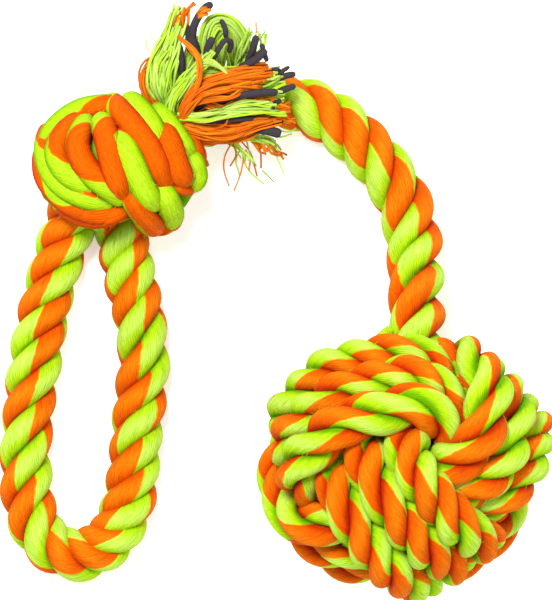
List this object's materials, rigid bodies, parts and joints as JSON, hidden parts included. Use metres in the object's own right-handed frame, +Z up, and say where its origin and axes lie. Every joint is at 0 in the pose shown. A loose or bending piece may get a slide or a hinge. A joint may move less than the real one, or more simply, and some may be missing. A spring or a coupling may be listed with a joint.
{
  "type": "rope dog toy",
  "caption": "Cotton rope tug toy for a dog: a woven monkey's fist ball, an arc of laid rope to a tied knot, a hand loop and a frayed tassel end.",
  "frame": {"origin": "middle of the toy's footprint on the floor it lies on", "axes": "+Z up from the floor, +Y from the ball towards the knot's end of the picture, +X from the hand loop towards the ball"},
  "size_m": [0.1948, 0.218, 0.1016],
  "materials": {
    "orange_yarn": "loose cotton yarn, orange with some lime",
    "lime_yarn": "loose cotton yarn, lime with some orange",
    "mixed_yarn": "loose cotton yarn, half orange and half lime",
    "dark_cord": "dull charcoal cord"
  },
  "bodies": {
    "root": {"ball_strand_1": "mixed_yarn", "ball_strand_2": "mixed_yarn", "ball_strand_3": "mixed_yarn", "ball_core": "mixed_yarn", "arc_rope": "mixed_yarn", "knot_turns": "mixed_yarn", "hand_loop": "mixed_yarn", "tuft_1": "orange_yarn", "tuft_2": "lime_yarn", "tuft_3": "mixed_yarn", "heart_1_1": "dark_cord", "heart_1_2": "dark_cord", "heart_1_3": "dark_cord", "heart_2_1": "dark_cord", "heart_2_2": "dark_cord", "heart_2_3": "dark_cord", "heart_2_4": "dark_cord", "heart_3_1": "dark_cord", "heart_3_2": "dark_cord", "heart_3_3": "dark_cord", "heart_3_4": "dark_cord", "heart_3_5": "dark_cord", "heart_3_6": "dark_cord"}
  },
  "joints": []
}
